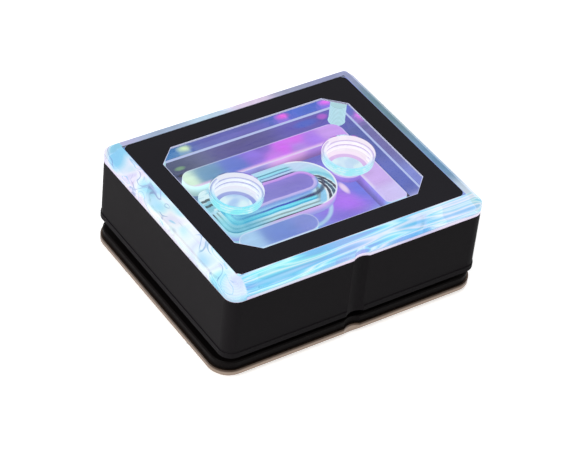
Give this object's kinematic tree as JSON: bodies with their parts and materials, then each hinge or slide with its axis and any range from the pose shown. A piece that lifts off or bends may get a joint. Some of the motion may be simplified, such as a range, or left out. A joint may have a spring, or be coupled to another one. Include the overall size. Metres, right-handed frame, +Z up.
{
  "type": "cpu water block",
  "caption": "Rectangular processor water block with a finned metal base, black housing, bracket groove and a lit clear top with threaded ports.",
  "frame": {"origin": "on the floor under the middle of the block", "axes": "+X along the length from the inlet port to the outlet port, +Y to the back, +Z up out of the ports"},
  "size_m": [0.0762, 0.0624, 0.0297],
  "materials": {
    "plated_copper": "nickel-plated copper, finely lapped, warm grey",
    "black_metal": "black anodised",
    "black_plastic": "machined black acetal",
    "housing_plastic": "fine satin moulded black",
    "trim_black": "satin black",
    "clear_acrylic": "polished clear acrylic",
    "frosted_plastic": "frosted clear plastic",
    "rubber": "black rubber",
    "silicone": "grey silicone",
    "steel": "stainless steel",
    "tape_film": "black adhesive film",
    "board_mask": "white solder mask",
    "led_package": "white light package, lit",
    "capacitor_body": "tan ceramic body with tinned ends",
    "header_plastic": "natural nylon",
    "pin_metal": "gilt contacts"
  },
  "bodies": {
    "root": {"cold_plate": "plated_copper", "bracket_ring": "black_metal", "manifold": "black_plastic", "plate_seal": "rubber", "top_seal": "rubber", "jet_plate": "steel", "jet_gasket": "silicone", "nozzle_insert": "frosted_plastic", "nozzle_seal": "rubber", "housing_shell": "housing_plastic", "acrylic_top": "clear_acrylic", "trim_frame": "trim_black", "trim_tape": "tape_film", "led_board": "board_mask", "led_chips": "led_package", "led_capacitors": "capacitor_body", "wire_header": "header_plastic", "header_pins": "pin_metal", "cable_grommet": "rubber", "body_screws": "steel", "ring_screws": "steel", "board_screws": "steel"}
  },
  "joints": []
}
